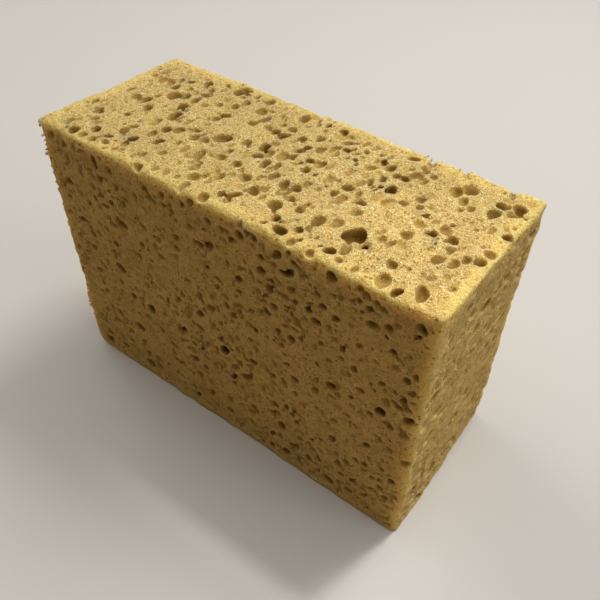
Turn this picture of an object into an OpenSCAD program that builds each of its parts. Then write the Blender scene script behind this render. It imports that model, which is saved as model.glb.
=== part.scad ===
// Large household cleaning sponge: one block of cellulose foam, sawn square
// and standing on its long narrow face. The foam is full of round cavities,
// and a saw cut lays them open as bowls on every face.
// Frame: +X along the length, +Y from front to back, +Z up, and the origin
// under the middle of the block, on the surface that it stands on.

/* [Block] */
// Length of the block, from left to right
block_length = 170; // [100:1:220]
// Depth of the block, from front to back
block_depth = 72; // [45:1:100]
// Height of the block as it stands
block_height = 120; // [70:1:160]
// Radius of the eased edges that the saw leaves
edge_radius = 1.6; // [0.4:0.1:3]
// Radius of the lower left-hand edge, pressed and worn round
worn_edge_radius = 9; // [2:0.5:15]

/* [Pores] */
// Width of the smallest scattered pore at its mouth
small_pore_w = 2.4; // [1.5:0.1:3]
// Width of the largest scattered pore at its mouth
large_pore_w = 5.2; // [4:0.1:7]
// Depth of the shallowest and deepest scattered pores, in mouth widths
pore_depths = [0.35, 0.85]; // [0.25:0.05:1]
// Width of the patch of face that holds one scattered pore
pore_pitch = 12.5; // [11:0.5:20]
// Foam left between a named pore and a scattered one
pore_wall = 0.6; // [0.3:0.1:2]
// Width of the sound patch under the middle of the block
rest_patch_w = 14; // [8:1:30]

/* [Hidden] */
// Segments of the drawn pores and edges, whose true form is round
pore_fn = 24;
edge_fn = 32;

// Where each face starts in the row of scattered numbers
TOP_SEED = 100;
FRONT_SEED = 1000;
BACK_SEED = 2000;
RIGHT_SEED = 3000;
LEFT_SEED = 4000;
BASE_SEED = 5000;

// The plainest pores of each face, placed by hand, each as [percent of the
// face's width, percent of its height, width of the mouth in mm, depth in mm].
// A pore that isn't round is two or three bowls run together.
TOP_PORES = [
    // the widest bowl, and the lobed ones at the back
    [77, 24, 8.0, 5.4], [84.8, 82, 5.6, 2.8], [87.2, 88.5, 5.6, 2.6],
    [84.9, 89, 5.0, 2.4], [96.6, 90, 4.8, 2.4], [97.4, 84, 4.4, 2.6],
    [55.2, 88, 4.4, 2.0], [54.6, 93, 4.2, 2.0], [34.8, 82.5, 4.4, 3.4],
    [36.6, 86, 3.0, 2.0], [16.8, 87.5, 4.0, 2.6], [45.2, 78, 3.4, 2.0],
    // the row behind the middle
    [14.6, 65, 4.6, 3.2], [16.6, 68, 4.6, 3.0], [20, 76.5, 3.6, 2.6],
    [38, 77, 3.4, 2.4], [43, 70.5, 4.4, 3.0], [45.6, 70, 3.8, 2.6],
    [46, 62, 3.4, 1.8], [49.4, 73, 3.4, 2.4], [52.4, 64, 3.0, 2.4],
    [52.4, 68.5, 3.0, 2.0], [54.8, 71, 3.6, 2.4], [55.6, 58.5, 3.0, 2.4],
    [59.5, 78, 3.2, 2.6], [62.8, 72.5, 2.6, 2.4], [70.6, 78, 4.2, 2.4],
    [72.2, 62, 3.2, 2.6], [72.2, 66.5, 3.2, 2.2], [75, 63, 4.6, 4.2],
    [75.6, 77, 3.2, 2.8], [78, 78, 4.2, 4.4], [78.2, 58, 3.0, 2.6],
    [81.6, 58, 2.8, 2.0], [89.4, 73, 3.4, 2.4], [93.8, 78, 3.8, 4.0],
    // across the middle
    [8, 51, 4.2, 3.0], [13.8, 46, 4.4, 2.8], [24.8, 36, 4.0, 2.2],
    [29.8, 44.5, 2.8, 2.2], [31.6, 39, 3.8, 2.6], [34, 40, 3.2, 2.4],
    [41.2, 52.5, 4.0, 3.0], [46.6, 45, 4.2, 3.4], [47.2, 51, 4.0, 2.6],
    [67.4, 51.5, 3.6, 2.8], [70.2, 50, 3.0, 1.8], [71.8, 46, 4.0, 3.4],
    [84, 38, 4.8, 2.4], [84.4, 48.5, 4.2, 1.8], [89.4, 52, 4.2, 2.6],
    [91.8, 47, 3.0, 3.4], [97.6, 41, 4.4, 2.4], [98.6, 48.5, 4.0, 2.0],
    [99, 63.5, 4.0, 3.0],
    // before the middle
    [6.8, 29, 3.6, 2.2], [9, 20, 3.4, 2.2], [12.8, 34, 3.0, 2.2],
    [18.2, 22, 3.4, 2.6], [18.4, 27, 3.0, 2.2], [22.4, 18, 3.8, 2.6],
    [27, 24.5, 3.8, 3.0], [30, 18.5, 3.0, 2.4], [39.4, 18.5, 3.2, 2.2],
    [41.4, 34, 4.8, 2.6], [45.4, 34, 3.8, 2.8], [49.4, 27, 4.8, 2.6],
    [54.6, 20, 4.2, 2.6], [54.6, 26, 4.2, 2.2], [59.8, 35.5, 3.0, 2.8],
    [60.2, 18.5, 4.2, 3.0], [64.7, 23.5, 3.0, 2.0], [69.2, 21, 4.8, 3.4],
    [73.5, 38, 4.0, 2.4], [81.2, 29, 3.4, 2.4],
    // along the front edge
    [10, 6, 4.0, 2.8], [13, 5, 3.4, 2.0], [13.2, 12.5, 3.4, 2.4],
    [15.8, 5.5, 3.2, 2.0], [17.8, 12.5, 4.0, 2.8], [30.6, 4, 3.4, 2.4],
    [34, 6.5, 2.8, 2.2], [42.8, 4.5, 3.8, 2.4], [47.6, 3, 3.6, 2.4],
    [49.6, 11, 3.0, 2.0], [52.4, 8.5, 2.8, 2.6], [62.9, 12, 3.8, 3.4],
    [65.8, 7, 4.0, 4.0], [69.2, 2.8, 3.2, 2.0], [73.4, 2.8, 3.2, 2.4],
    [75.8, 9, 3.6, 2.6], [78.4, 5.5, 3.4, 2.0], [86.4, 16.5, 3.6, 2.4],
    [86.8, 7, 4.4, 3.0], [90.2, 5.5, 3.0, 3.0],
];
FRONT_PORES = [
    // the upper third
    [12.6, 81.2, 3.2, 3.0], [27.4, 79, 3.8, 2.2], [37.4, 77.2, 3.4, 2.4],
    [46.8, 86, 4.4, 3.0], [55.3, 95, 3.2, 2.8], [60.9, 86.6, 3.6, 2.8],
    [66, 90.4, 3.6, 2.8], [67.4, 91.4, 3.2, 2.6], [67.6, 85, 2.8, 2.6],
    [72, 80.8, 3.0, 2.8], [76.4, 96, 4.2, 3.0], [83.6, 77.6, 3.6, 2.6],
    [85.6, 87, 4.6, 3.2], [88.8, 88.4, 4.0, 2.6],
    // the middle
    [14, 69.4, 3.0, 2.2], [16, 65, 3.4, 2.2], [31.2, 51.4, 3.0, 2.4],
    [35.2, 54.6, 4.4, 2.0], [41.4, 53, 3.2, 3.0], [42.4, 54.2, 2.8, 2.4],
    [45.6, 59.4, 4.4, 2.6], [47.4, 60.6, 3.8, 2.4], [50.6, 64.4, 3.6, 2.2],
    [57, 45, 4.0, 2.4], [61.2, 71, 4.0, 3.0], [67.7, 65, 3.8, 2.8],
    [68.6, 47.6, 3.4, 2.6], [77.6, 55, 4.8, 3.0], [79, 57, 4.2, 2.6],
    [79.4, 72.6, 3.0, 2.8], [83, 67.4, 3.2, 2.6], [89.7, 56.2, 4.4, 4.2],
    // the lower third
    [19.2, 34, 3.8, 2.4], [37.2, 28.4, 3.4, 2.4], [38.4, 29.4, 3.2, 2.4],
    [48.8, 17, 3.4, 2.4], [50.6, 31, 3.2, 2.6], [51.2, 33, 3.0, 2.4],
    [68.8, 41.4, 3.0, 2.6], [79.2, 30.6, 3.6, 2.4], [83.6, 23.2, 3.2, 2.4],
    [87.6, 36.8, 3.4, 2.8], [87.8, 27.4, 3.4, 2.4], [96.4, 38.2, 5.0, 2.8],
];
RIGHT_PORES = [
    [19, 57, 6.0, 3.0], [10, 70, 5.2, 2.8], [62, 63, 5.0, 2.8],
    [49, 86, 5.0, 3.0], [61, 41, 5.4, 2.6], [79, 36, 4.4, 2.6],
    [56, 17, 4.2, 2.6],
];

// The value that lies a share of the way along a range.
function along(range, share) = range[0] + (range[1] - range[0]) * share;

// A fraction from 0 to 1 that looks random and is the same every time.
function scatter(n) = let (s = sin(n * 78.233) * 43758.5453) s - floor(s);

// Whether a mouth at [x, y] of width w keeps its wall from every named pore.
function is_clear(x, y, w, named, width, height) =
    len([for (p = named)
        if (norm([p[0] / 100 * width - x, p[1] / 100 * height - y])
            < (p[2] + w) / 2 + pore_wall) p]) == 0;

// One pore in each patch of a face, as [x, y, width, depth]. Its place in its
// patch, its width and its depth come from scatter(), and most are small.
function scattered_pores(width, height, seed, named) = let (
    columns = max(1, floor(width / pore_pitch)),
    rows = max(1, floor(height / pore_pitch)),
    patch = [width / columns, height / rows])
    [for (i = [0 : columns - 1], j = [0 : rows - 1])
        let (n = seed + 4 * (i * rows + j),
            w = along([small_pore_w, large_pore_w], pow(scatter(n), 2)),
            x = i * patch[0] + w / 2 + scatter(n + 1) * (patch[0] - w),
            y = j * patch[1] + w / 2 + scatter(n + 2) * (patch[1] - w),
            depth = w * along(pore_depths, scatter(n + 3)))
        if (is_clear(x, y, w, named, width, height)) [x, y, w, depth]];

// Radius of the ball whose bowl has this width at its mouth and this depth.
function ball_radius(width, depth) = (width * width / 4 + depth * depth) / (2 * depth);

// Bowls sunk into the plane z = 0, each as [x, y, width, depth].
module bowls(list) {
    for (p = list)
        let (radius = ball_radius(p[2], p[3]))
            translate([p[0], p[1], radius - p[3]])
                sphere(r = radius, $fn = pore_fn);
}

// All the pores of one face, drawn on the XY plane with its corner at the
// origin: the ones placed by hand, and the scattered ones between them.
module face_pores(width, height, seed, named = []) {
    bowls([for (p = named) [p[0] / 100 * width, p[1] / 100 * height, p[2], p[3]]]);
    bowls(scattered_pores(width, height, seed, named));
}

// What a quarter-round takes off a square corner at the origin.
module corner_waste(radius) {
    difference() {
        translate([-1, -1])
            square(radius + 1);
        translate([radius, radius])
            circle(r = radius, $fn = edge_fn);
    }
}

// A rectangle with quarter-round corners. The one at the origin may be larger.
module eased_outline(width, height, first_radius = edge_radius) {
    difference() {
        square([width, height]);
        corner_waste(first_radius);
        translate([width, 0])
            rotate(90)
                corner_waste(edge_radius);
        translate([width, height])
            rotate(180)
                corner_waste(edge_radius);
        translate([0, height])
            rotate(270)
                corner_waste(edge_radius);
    }
}

// The block with its corner at the origin: where three eased bars cross.
module sawn_block() {
    intersection() {
        linear_extrude(block_height)
            eased_outline(block_length, block_depth);
        translate([0, block_depth, 0])
            rotate([90, 0, 0])
                linear_extrude(block_depth)
                    eased_outline(block_length, block_height, worn_edge_radius);
        rotate([90, 0, 90])
            linear_extrude(block_length)
                eased_outline(block_depth, block_height);
    }
}

module top_pores() {
    translate([0, 0, block_height])
        face_pores(block_length, block_depth, TOP_SEED, TOP_PORES);
}

module front_pores() {
    rotate([90, 0, 0])
        face_pores(block_length, block_height, FRONT_SEED, FRONT_PORES);
}

module back_pores() {
    translate([block_length, block_depth, 0])
        rotate([90, 0, 180])
            face_pores(block_length, block_height, BACK_SEED);
}

module right_pores() {
    translate([block_length, 0, 0])
        rotate([90, 0, 90])
            face_pores(block_depth, block_height, RIGHT_SEED, RIGHT_PORES);
}

module left_pores() {
    translate([0, block_depth, 0])
        rotate([90, 0, -90])
            face_pores(block_depth, block_height, LEFT_SEED);
}

// The underside keeps a sound patch in its middle, which the block rests on.
module base_pores() {
    rest_patch = [50, 50, rest_patch_w];
    translate([0, block_depth, 0])
        rotate([180, 0, 0])
            bowls(scattered_pores(block_length, block_depth, BASE_SEED, [rest_patch]));
}

module sponge_block() {
    color([0.86, 0.73, 0.42])
        translate([-block_length / 2, -block_depth / 2, 0])
            difference() {
                sawn_block();
                top_pores();
                front_pores();
                back_pores();
                right_pores();
                left_pores();
                base_pores();
            }
}

sponge_block();
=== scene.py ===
# %% [markdown]
# # A large household cleaning sponge
# The real thing is one block of cellulose foam. The foam is cast round salt
# crystals that are washed out afterwards, so it is full of round cells of all
# sizes, and the saw that cuts the block lays them open on every face. This
# file grows the foam inside the block of the construction model, opens the
# cells, and gives the skin its grain, colour and light. Lengths are in
# millimetres while the foam is worked out, and in metres in Blender.

# %% Load the construction model as a fixed frame
import math

import bmesh
import bpy
import numpy as np
from mathutils import Matrix, Vector


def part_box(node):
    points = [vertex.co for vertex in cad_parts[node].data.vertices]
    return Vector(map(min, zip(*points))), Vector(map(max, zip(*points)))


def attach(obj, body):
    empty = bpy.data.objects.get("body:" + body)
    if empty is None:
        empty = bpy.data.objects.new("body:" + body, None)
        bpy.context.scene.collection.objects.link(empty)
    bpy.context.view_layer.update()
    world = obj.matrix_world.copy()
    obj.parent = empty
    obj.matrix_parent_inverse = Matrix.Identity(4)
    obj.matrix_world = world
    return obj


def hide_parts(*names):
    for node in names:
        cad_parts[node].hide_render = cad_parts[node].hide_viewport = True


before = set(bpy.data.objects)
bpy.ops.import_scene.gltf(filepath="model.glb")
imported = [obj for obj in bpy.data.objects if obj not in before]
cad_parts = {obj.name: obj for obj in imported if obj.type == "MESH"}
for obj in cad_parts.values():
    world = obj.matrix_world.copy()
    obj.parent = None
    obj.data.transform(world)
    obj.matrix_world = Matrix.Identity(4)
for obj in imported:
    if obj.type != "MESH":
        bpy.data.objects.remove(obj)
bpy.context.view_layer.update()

MM = 0.001
block_low, block_high = (np.array(corner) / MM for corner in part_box("sponge_block"))
block_size = block_high - block_low
print("block, mm:", block_size.round(1))

# %% [markdown]
# ## The camera
# It looks down on the block over its front right-hand corner. Everything else
# is judged through it, so it comes first. Azimuth turns it round the block,
# elevation lifts it, and a slight roll tips the horizon as a hand does.

# %% Camera
CAMERA_PLACE = Vector((0.1258, -0.1602, 0.2515))
CAMERA_LENS, NEAREST_SEEN = 40.48, 0.01
CAMERA_AZIMUTH, CAMERA_ELEVATION, CAMERA_ROLL = map(math.radians, (35.66, 44.63, 1.54))


def direction(azimuth, elevation):
    """Unit vector from the block towards an onlooker. Azimuth turns it from -Y towards +X, and elevation
    lifts it from level to +Z."""
    level = math.cos(elevation)
    return Vector((math.sin(azimuth) * level, -math.cos(azimuth) * level, math.sin(elevation)))


camera = bpy.data.objects.new("camera", bpy.data.cameras.new("camera"))
bpy.context.scene.collection.objects.link(camera)
bpy.context.scene.camera = camera
camera.data.lens = CAMERA_LENS
camera.data.clip_start = NEAREST_SEEN
camera.rotation_mode = "QUATERNION"
facing = (-direction(CAMERA_AZIMUTH, CAMERA_ELEVATION)).to_track_quat("-Z", "Y")
camera.rotation_quaternion = facing @ Matrix.Rotation(CAMERA_ROLL, 3, "Z").to_quaternion()
camera.location = CAMERA_PLACE
print("camera distance, m:", round(CAMERA_PLACE.length, 3))

# %% [markdown]
# ## Why the foam is a field and not a sheet
# A surface over two parameters can dent a face, but it can't undercut a mouth,
# run one cell into the next or break a cell through an edge, and that is what
# foam does. So the foam is a field on a grid of small cubes: each corner holds
# the distance to the skin, less than nought inside the foam. Carving a cell is
# then one line, the greater of the foam and what the cell leaves. Every step
# still works on whole arrays.

# %% The grid
CUBE = 0.42
GRID_MARGIN = 2.1
NOISE_GAIN = 2.9  # three blends in turn leave about a third of the knots' height
axes = [np.arange(low - GRID_MARGIN, high + GRID_MARGIN, CUBE, dtype=np.float32)
        for low, high in zip(block_low, block_high)]
grid_low = np.array([axis[0] for axis in axes])
print("grid:", [len(axis) for axis in axes])


def spline_weights(points, start, pitch, knots):
    """Share of each knot in each point: the cubic B-spline of their distance in pitches, which is 2/3 at
    nought and nothing past 2."""
    away = np.abs((points - start)[:, None] / pitch - np.arange(knots)[None, :])
    near = 2 / 3 - away ** 2 + away ** 3 / 2
    far = (2 - away) ** 3 / 6
    return np.where(away < 1, near, np.where(away < 2, far, 0)).astype(np.float32)


def soft_noise(pitch, seed):
    """Smooth random field of about unit height: random knots a pitch apart, blended by splines along each
    axis in turn."""
    knots = [math.ceil((axis[-1] - axis[0]) / pitch) + 4 for axis in axes]
    field = np.random.default_rng(seed).standard_normal(knots).astype(np.float32)
    for axis, count in zip(axes, knots):
        weights = spline_weights(axis, axis[0] - 1.5 * pitch, pitch, count)
        field = np.tensordot(field, weights, (0, 1))
    return field * NOISE_GAIN


# %% [markdown]
# ## The sawn block
# As in the construction model, the block is where three bars with eased edges
# cross. Its lower left-hand edge is pressed and worn round, and the front
# upright above it is rubbed. The front edge of the top and the front upright
# on the right are eased by handling, and the other edges are as sawn. A saw
# pulls soft foam about, so the faces waver by a fraction of a millimetre. The
# edges crumble a little more than the faces, but for the handled ones, where
# the loose crumbs are long gone.

# %% Block with wavering faces and crumbled edges
EDGE_RADIUS = 0.9
HANDLED_EDGE_RADIUS = 3.0
RUBBED_EDGE_RADIUS = 2.6
WORN_EDGE_RADIUS = 9.0
FACE_WAVER, WAVER_PITCH = 0.2, 16
FACE_LUMPS, LUMP_PITCH = 0.12, 2.3
EDGE_CRUMBLE, CRUMBLE_PITCH = 0.13, 1.9
CRUMBLE_REACH = 1.8
CRUMBLE_LOSS = 0.3
HANDLED_CRUMBLE = 0.3
HANDLED_ABOVE = 45  # left of the middle only the top edge is handled, this far above the middle
centre = (block_low + block_high) / 2
half = block_size / 2


def eased_bar(a, b, half_a, half_b, radius):
    """Distance to a rectangle with round corners: beyond a corner's centre it is the distance to its
    circle, and elsewhere to the nearer side."""
    over_a = np.abs(a)[:, None] - half_a + radius
    over_b = np.abs(b)[None, :] - half_b + radius
    outside = np.hypot(np.maximum(over_a, 0), np.maximum(over_b, 0))
    return outside + np.minimum(np.maximum(over_a, over_b), 0) - radius


x, y, z = (axis - middle for axis, middle in zip(axes, centre.astype(np.float32)))
front_uprights = np.where(x < 0, RUBBED_EDGE_RADIUS, HANDLED_EDGE_RADIUS)[:, None]
rubbed = np.where((y < 0)[None, :], front_uprights, EDGE_RADIUS)
worn = np.where((x < 0)[:, None] & (z < 0)[None, :], WORN_EDGE_RADIUS, EDGE_RADIUS)
handled = np.where((y < 0)[:, None] & (z > 0)[None, :], HANDLED_EDGE_RADIUS, EDGE_RADIUS)
plan = eased_bar(x, y, half[0], half[1], rubbed)
front = eased_bar(x, z, half[0], half[2], worn)
end = eased_bar(y, z, half[1], half[2], handled)
foam = np.maximum(np.maximum(plan[:, :, None], front[:, None, :]), end[None, :, :]).astype(np.float32)

to_x, to_y, to_z = half[0] - np.abs(x), half[1] - np.abs(y), half[2] - np.abs(z)
low_pair = np.minimum(to_x[:, None, None], to_y[None, :, None])
high_pair = np.maximum(to_x[:, None, None], to_y[None, :, None])
to_edge = np.maximum(low_pair, np.minimum(high_pair, to_z[None, None, :]))
crumble = np.exp(-np.maximum(to_edge, 0) / CRUMBLE_REACH).astype(np.float32) * EDGE_CRUMBLE
crumble[x > 0] *= np.where((y < 0)[:, None], HANDLED_CRUMBLE, 1)
crumble[x < 0] *= np.where((y < 0)[:, None] & (z > HANDLED_ABOVE)[None, :], HANDLED_CRUMBLE, 1)
foam += (FACE_WAVER * soft_noise(WAVER_PITCH, 1) + FACE_LUMPS * soft_noise(LUMP_PITCH, 3)
         + crumble * (CRUMBLE_LOSS + soft_noise(CRUMBLE_PITCH, 2)))
uncut = foam.copy()
del to_edge, crumble
print("block field done")

# %% [markdown]
# ## Where the cells open
# The plainest pores are listed one by one: percent across the face, percent up
# it, width of the mouth and depth. Those of the construction model were set
# again on the top, once they could be judged in the light, and each face's are
# moved together by a few percent. The rest are scattered by the same rule as
# there, which draws each number from the sine of its place in the row, so most
# of them lie where that model has them.

# %% Pores listed one by one
TOP_PORES = [
    # the widest bowl, and the lobed ones at the back
    (77.2, 24.6, 6, 4.6), (76.3, 22.2, 5.4, 4), (84.6, 82.3, 5.4, 2.6), (86.6, 87.8, 5.4, 2.6),
    (96.7, 87, 4.4, 2.2), (97, 81.5, 4, 2.6), (55.2, 88, 4.4, 2), (54.6, 93, 4.2, 2),
    (34.8, 82.5, 4.4, 3.4), (36.6, 86, 3, 2), (16.8, 87.5, 4, 2.6), (45.2, 78, 3.4, 2),
    # the row behind the middle
    (14.6, 65, 4.6, 3.2), (16.6, 68, 4.6, 3), (20, 76.5, 3.6, 2.6), (38, 77, 3.4, 2.4),
    (43, 70.5, 4.4, 3), (45.6, 70, 3.8, 2.6), (46, 62, 3.4, 1.8), (49.4, 73, 3.4, 2.4),
    (52.4, 64, 3, 2.4), (52.4, 68.5, 3, 2), (54.8, 71, 3.6, 2.4), (55.6, 58.5, 3, 2.4),
    (59.5, 78, 3.2, 2.6), (62.8, 72.5, 2.6, 2.4), (70.6, 78, 4.2, 2.4), (72.2, 62, 3.2, 2.6),
    (71.2, 68.2, 3.2, 2.2), (74.6, 63, 4.4, 2.3), (74.8, 74, 3.2, 2.8), (78, 78, 4.2, 2.8),
    (78.2, 58, 3, 2.6), (81.6, 58, 2.8, 2), (89.4, 73, 3.4, 2.4), (93.9, 76.5, 4, 4.2),
    # across the middle
    (8, 51, 4.2, 3), (13.8, 46, 4.4, 2.8), (24.8, 36, 4, 2.2), (29.8, 44.5, 2.8, 2.2),
    (31.6, 39, 3.8, 2.6), (34, 40, 3.2, 2.4), (41.2, 52.5, 4, 3), (46.4, 45.6, 4.6, 3.4),
    (47.6, 51, 4.4, 2.6), (67.4, 51.5, 3.6, 2.8), (70.2, 50, 3, 1.8), (71.8, 46, 4, 3.4),
    (84, 38, 4.8, 2.4), (84.4, 48.5, 4.2, 1.8), (89.4, 52, 4.2, 2.6), (91.4, 47.6, 3.2, 3.4),
    (97.6, 41, 4.4, 2.4), (98.6, 48.5, 4, 2), (99, 63.5, 4, 3),
    # before the middle
    (6.8, 29, 3.6, 2.2), (9, 20, 3.4, 2.2), (12.8, 34, 3, 2.2), (18.2, 22, 3.4, 2.6), (18.4, 27, 3, 2.2),
    (22.4, 18, 3.8, 2.6), (27, 24.5, 3.8, 3), (30, 18.5, 3, 2.4), (39.4, 18.5, 3.2, 2.2),
    (41, 34, 5, 2.6), (45, 34, 4.2, 2.8), (49.4, 27, 4.8, 2.6), (54, 21.5, 4.8, 3), (55.4, 26, 3.6, 2),
    (59.8, 35.5, 3, 2.8), (60.2, 18.5, 4.2, 3), (64.7, 23.5, 3, 2), (69.2, 21, 4.8, 3.4),
    (73.5, 38, 4, 2.4), (81.2, 29, 3.4, 2.4),
    # along the front edge
    (10, 6, 4, 2.8), (13, 5, 3.4, 2), (13.2, 12.5, 3.4, 2.4), (15.8, 5.5, 3.2, 2), (17.8, 12.5, 4, 2.8),
    (30.6, 4, 3.4, 2.4), (34, 6.5, 2.8, 2.2), (42.8, 4.5, 3.8, 2.4), (47.6, 3, 3.6, 2.4),
    (49.6, 11, 3, 2), (52.4, 8.5, 2.8, 2.6), (62.9, 12, 3.8, 3.4), (65.8, 7, 4, 3), (69.2, 2.8, 3.2, 2),
    (73.4, 2.8, 3.2, 2.4), (75.8, 9, 3.6, 2.6), (78.4, 5.5, 3.4, 2), (86.4, 16.5, 3.6, 2.4),
    (86.8, 7, 4.4, 3), (90.2, 5.5, 3, 3),
]
FRONT_PORES = [
    # the upper third
    (12.6, 81.2, 3.2, 3), (27.4, 79, 3.8, 2.2), (37.4, 77.2, 3.4, 2.4), (46.8, 86, 4.4, 3),
    (55.3, 95, 3.2, 2.8), (60.9, 86.6, 3.6, 2.8), (66, 90.4, 3.6, 2.8), (67.4, 91.4, 3.2, 2.6),
    (67.6, 85, 2.8, 2.6), (72, 80.8, 3, 2.8), (76.4, 96, 4.2, 3), (83.6, 77.6, 3.6, 2.6),
    (85.6, 87, 4.6, 3.2), (88.8, 88.4, 4, 2.6),
    # the middle
    (14, 69.4, 3, 2.2), (16, 65, 3.4, 2.2), (31.2, 51.4, 3, 2.4), (35.2, 54.6, 4.4, 2),
    (41.4, 53, 3.2, 3), (42.4, 54.2, 2.8, 2.4), (45.6, 59.4, 4.4, 2.6), (47.4, 60.6, 3.8, 2.4),
    (50.6, 64.4, 3.6, 2.2), (57, 45, 4, 2.4), (61.2, 71, 4, 3), (67.7, 65, 3.8, 2.8),
    (68.6, 47.6, 3.4, 2.6), (77.6, 55, 4.8, 3), (79, 57, 4.2, 2.6), (79.4, 72.6, 3, 2.8),
    (83, 67.4, 3.2, 2.6), (89.7, 56.2, 4.4, 4.2),
    # the lower third
    (19.2, 34, 3.8, 2.4), (37.2, 28.4, 3.4, 2.4), (38.4, 29.4, 3.2, 2.4), (48.8, 17, 3.4, 2.4),
    (50.6, 31, 3.2, 2.6), (51.2, 33, 3, 2.4), (68.8, 41.4, 3, 2.6), (79.2, 30.6, 3.6, 2.4),
    (83.6, 23.2, 3.2, 2.4), (87.6, 36.8, 3.4, 2.8), (87.8, 27.4, 3.4, 2.4), (96.4, 38.2, 5, 2.8),
]
RIGHT_PORES = [
    (19, 57, 6, 3), (10, 70, 5.2, 2.8), (62, 63, 5, 2.8), (49, 86, 5, 3), (61, 41, 5.4, 2.6),
    (79, 36, 4.4, 2.6), (56, 17, 4.2, 2.6),
]
REST_PATCH = [(50, 50, 14.0, 1.0)]
# percent across and up that each face's are moved by, and how much the front's
# rise for each percent to the right of the middle
FACE_SHIFTS = {"top": (-0.2, -0.5), "front": (2.1, -0.6), "right": (1.5, -4.0)}
FRONT_SLANT = 0.027
print("placed by hand:", len(TOP_PORES) + len(FRONT_PORES) + len(RIGHT_PORES))

# %% The six faces
# Each face has the corner its percents start from, the way across, the way up,
# the way into the foam, where its row of scattered numbers starts, the pores
# listed one by one, and what scattered pores keep clear of.
low, high = block_low, block_high
FACES = {
    "top": ((low[0], low[1], high[2]), (1, 0, 0), (0, 1, 0), (0, 0, -1), 100, TOP_PORES),
    "front": ((low[0], low[1], low[2]), (1, 0, 0), (0, 0, 1), (0, 1, 0), 1000, FRONT_PORES),
    "back": ((high[0], high[1], low[2]), (-1, 0, 0), (0, 0, 1), (0, -1, 0), 2000, []),
    "right": ((high[0], low[1], low[2]), (0, 1, 0), (0, 0, 1), (-1, 0, 0), 3000, RIGHT_PORES),
    "left": ((low[0], high[1], low[2]), (0, -1, 0), (0, 0, 1), (1, 0, 0), 4000, []),
    "base": ((low[0], high[1], low[2]), (1, 0, 0), (0, -1, 0), (0, 0, 1), 5000, REST_PATCH),
}
SMALL_PORE, LARGE_PORE = 2.4, 5.2
PORE_PITCH = 12.5
PORE_WALL = 0.6
PORE_DEPTHS = (0.35, 0.85)


def scatter(n):
    """A fraction from 0 to 1 that looks random: what is left of a large sine once its whole part is gone."""
    value = np.sin(np.radians(n * 78.233)) * 43758.5453
    return value - np.floor(value)


def clear_of(pores, others, wall):
    """Which pores keep their wall from all the others: the distance of the middles against the sum of the
    half widths."""
    if not len(others):
        return np.ones(len(pores), bool)
    apart = np.hypot(*(pores[:, None, k] - others[None, :, k] for k in (0, 1)))
    return (apart >= (pores[:, None, 2] + others[None, :, 2]) / 2 + wall).all(axis=1)


def scattered_pores(width, height, seed, named):
    """One pore in each patch of the face. Its width is the square of a scattered fraction along the range,
    so most are small."""
    columns, rows = int(width // PORE_PITCH), int(height // PORE_PITCH)
    i, j = np.meshgrid(np.arange(columns), np.arange(rows), indexing="ij")
    n = seed + 4 * (i * rows + j)
    mouth = SMALL_PORE + (LARGE_PORE - SMALL_PORE) * scatter(n) ** 2
    across = i * width / columns + mouth / 2 + scatter(n + 1) * (width / columns - mouth)
    up = j * height / rows + mouth / 2 + scatter(n + 2) * (height / rows - mouth)
    depth = mouth * (PORE_DEPTHS[0] + (PORE_DEPTHS[1] - PORE_DEPTHS[0]) * scatter(n + 3))
    pores = np.stack([across, up, mouth, depth], axis=-1).reshape(-1, 4)
    return pores[clear_of(pores, named, PORE_WALL)]


# %% [markdown]
# ## The finer pores
# Between the plain pores the face is crowded with smaller ones, down to a
# little over a millimetre, and with shallow dimples where the saw only grazed
# a cell. They are thrown at the face like darts, and a dart that would land on
# a pore is thrown away, as two cells can't fill one space. The top has fewer
# and deeper ones than the other faces. Few pores open right beside an edge, so
# darts keep clear of it, and a scattered pore that lies too near is left out.

# %% Finer pores
# Least and greatest mouth, square millimetres of face for each, and least and
# greatest depth in mouths. The last row is the dimples.
FINE_SIZES = ((2.2, 3.7, 86.0, 0.45, 0.9), (1.2, 2.2, 24.0, 0.4, 0.8), (1.4, 3.0, 28.0, 0.12, 0.3))
FINE_WALL = 0.1
CROWDING = dict.fromkeys(FACES, 2.8) | {"top": 1}
FINE_DEPTH = dict.fromkeys(FACES, 0.62) | {"top": 1.0, "right": 0.52}
PLACED_DEPTH = dict.fromkeys(FACES, 0.86) | {"top": 1.0}
EDGE_WALL_FINE, EDGE_WALL_SCATTERED = 1.2, 0.95  # in mouths, from a pore's middle to the edge


def fine_pores(width, height, taken, rng, crowding):
    """Darts for each band of sizes, largest first: as many as the area over the area per pore, less those
    that land on others."""
    for least, most, area, shallowest, deepest in FINE_SIZES:
        count = int(crowding * width * height / area)
        darts = np.empty((count, 4))
        darts[:, 2] = rng.uniform(least, most, count)
        wall = EDGE_WALL_FINE * darts[:, 2]
        darts[:, 0] = rng.uniform(wall, width - wall)
        darts[:, 1] = rng.uniform(wall, height - wall)
        darts[:, 3] = darts[:, 2] * rng.uniform(shallowest, deepest, count)
        darts = darts[clear_of(darts, taken, FINE_WALL)]
        taken = np.concatenate([taken, darts])
    return taken


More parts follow.
